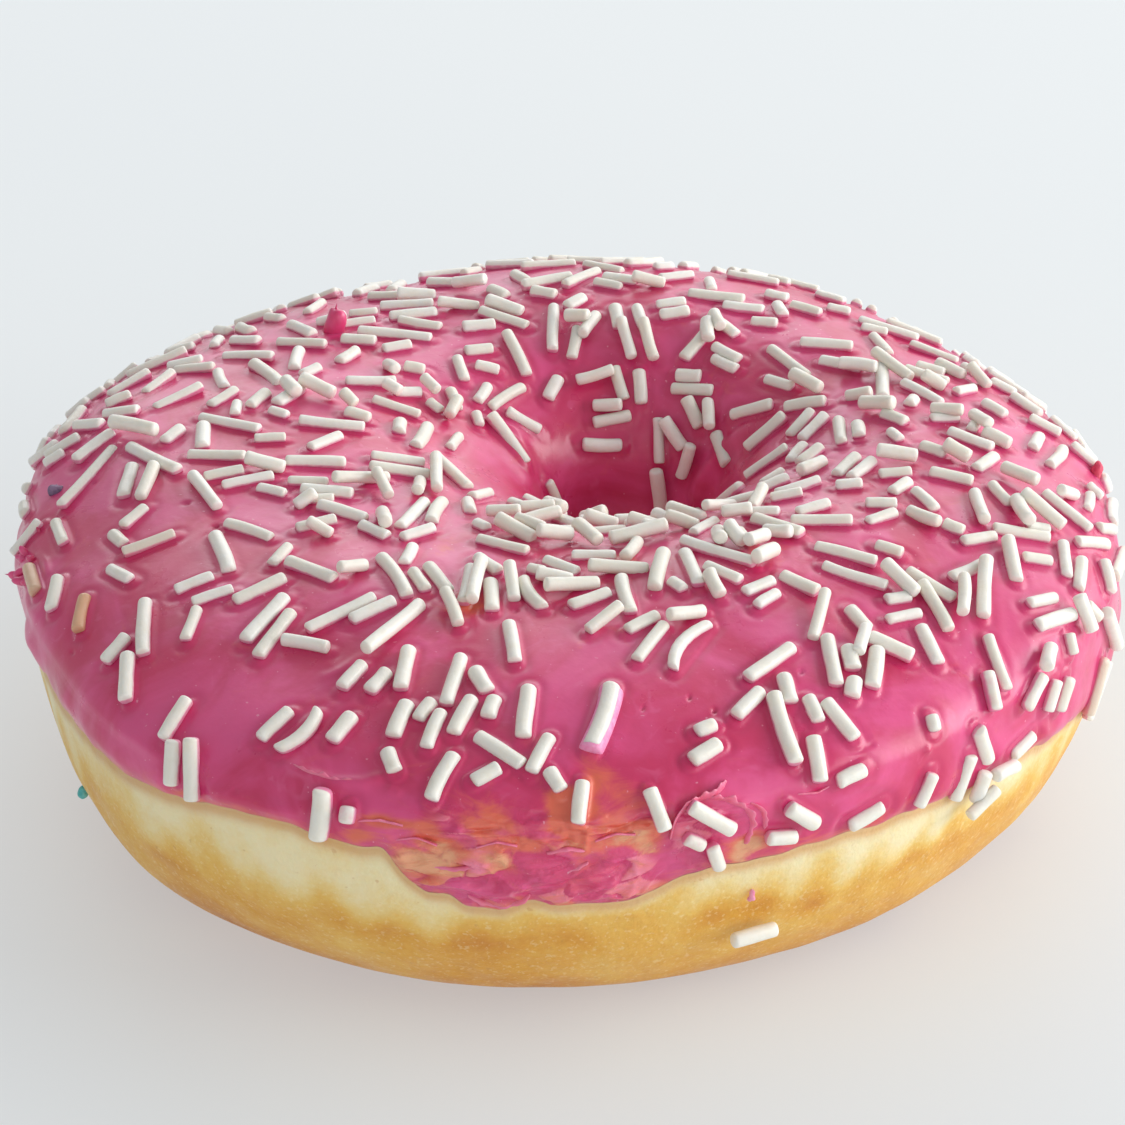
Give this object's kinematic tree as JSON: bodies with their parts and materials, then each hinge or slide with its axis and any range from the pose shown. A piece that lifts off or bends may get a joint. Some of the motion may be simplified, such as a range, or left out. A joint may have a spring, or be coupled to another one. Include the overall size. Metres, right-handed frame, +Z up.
{
  "type": "doughnut",
  "caption": "Ring doughnut of baked dough with a layer of pink icing over its top and into its hole, dressed with short white sugar sprinkles.",
  "frame": {"origin": "centre of the doughnut's outline, on the surface that it rests on", "axes": "+Z up, out of the iced top; -Y towards the front, where the icing hangs lowest; +X to the right of the front"},
  "size_m": [0.0916, 0.0923, 0.0294],
  "materials": {
    "dough": "golden fried crust, matt, with a paler band under the icing",
    "icing": "set pink icing, satin gloss",
    "sprinkle": "off-white pressed sugar, smooth and slightly waxy"
  },
  "bodies": {
    "root": {"dough": "dough", "icing": "icing", "sprinkle_01": "sprinkle", "sprinkle_02": "sprinkle", "sprinkle_03": "sprinkle", "sprinkle_04": "sprinkle", "sprinkle_05": "sprinkle", "sprinkle_06": "sprinkle", "sprinkle_07": "sprinkle", "sprinkle_08": "sprinkle", "sprinkle_09": "sprinkle", "sprinkle_10": "sprinkle", "sprinkle_11": "sprinkle", "sprinkle_12": "sprinkle", "sprinkle_13": "sprinkle", "sprinkle_14": "sprinkle", "sprinkle_15": "sprinkle", "sprinkle_16": "sprinkle", "sprinkle_17": "sprinkle", "sprinkle_18": "sprinkle", "sprinkle_19": "sprinkle", "sprinkle_20": "sprinkle", "sprinkle_21": "sprinkle", "sprinkle_22": "sprinkle", "sprinkle_23": "sprinkle", "sprinkle_24": "sprinkle", "sprinkle_25": "sprinkle", "sprinkle_26": "sprinkle", "sprinkle_27": "sprinkle", "sprinkle_28": "sprinkle", "sprinkle_29": "sprinkle", "sprinkle_30": "sprinkle", "sprinkle_31": "sprinkle", "sprinkle_32": "sprinkle", "sprinkle_33": "sprinkle", "sprinkle_34": "sprinkle", "sprinkle_35": "sprinkle", "sprinkle_36": "sprinkle", "sprinkle_37": "sprinkle", "sprinkle_38": "sprinkle", "sprinkle_39": "sprinkle", "sprinkle_40": "sprinkle", "sprinkle_41": "sprinkle", "sprinkle_42": "sprinkle", "sprinkle_43": "sprinkle", "sprinkle_44": "sprinkle", "sprinkle_45": "sprinkle", "sprinkle_46": "sprinkle", "sprinkle_47": "sprinkle", "sprinkle_48": "sprinkle", "sprinkle_49": "sprinkle", "sprinkle_50": "sprinkle", "sprinkle_51": "sprinkle", "sprinkle_52": "sprinkle", "sprinkle_53": "sprinkle", "sprinkle_54": "sprinkle", "sprinkle_55": "sprinkle", "sprinkle_56": "sprinkle", "sprinkle_57": "sprinkle", "sprinkle_58": "sprinkle"}
  },
  "joints": []
}
